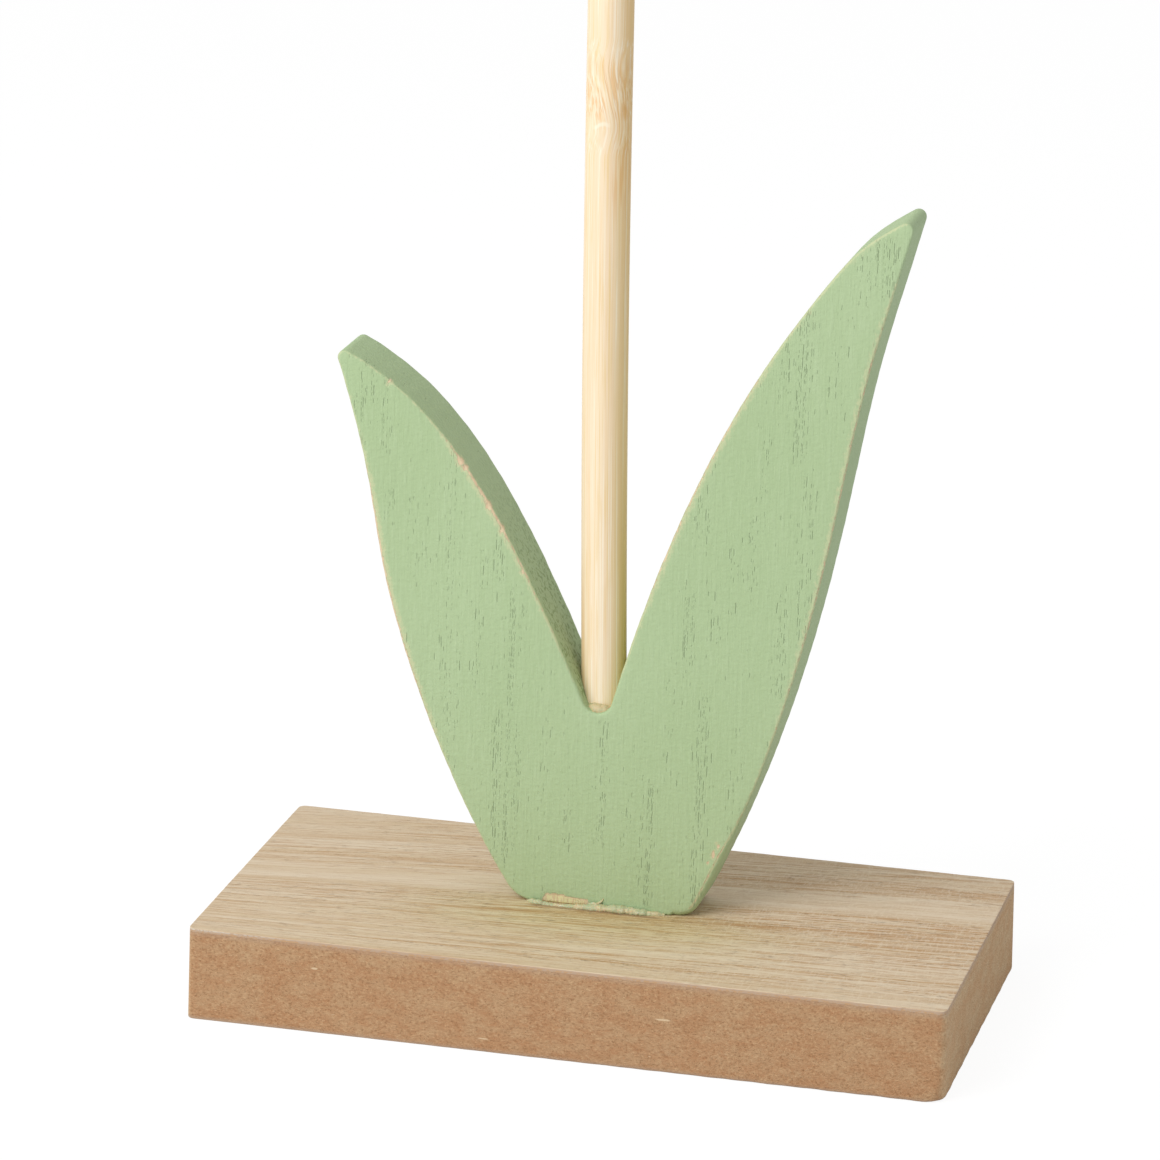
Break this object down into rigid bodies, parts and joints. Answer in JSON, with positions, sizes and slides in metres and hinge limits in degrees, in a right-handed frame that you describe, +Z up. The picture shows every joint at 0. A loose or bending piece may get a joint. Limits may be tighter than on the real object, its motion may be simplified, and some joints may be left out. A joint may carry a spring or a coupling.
{
  "type": "wooden tulip ornament",
  "caption": "Free-standing flat wooden tulip: veneered board base, green cut-out leaves, bamboo stick stem and a flat tulip head.",
  "frame": {"origin": "middle of the base's underside", "axes": "+Z up, +X along the base's length to the viewer's right, +Y across the base to the back"},
  "size_m": [0.1, 0.05, 0.2986],
  "materials": {
    "fibreboard": "raw sawn fibreboard",
    "veneer": "raw sanded veneer",
    "green_paint": "thin matt paint on open-pored wood",
    "bamboo": "raw, slightly silky",
    "flower_paint": "thin matt paint on open-pored wood",
    "dried_glue": "dried wood glue",
    "zinc_steel": "bright zinc plating"
  },
  "bodies": {
    "root": {"base_board": "fibreboard", "base_veneer": "veneer", "leaf_pair": "green_paint", "leaf_screws": "zinc_steel", "foot_glue": "dried_glue", "stem": "bamboo", "notch_glue": "dried_glue", "tulip_head": "flower_paint", "head_glue": "dried_glue"}
  },
  "joints": []
}
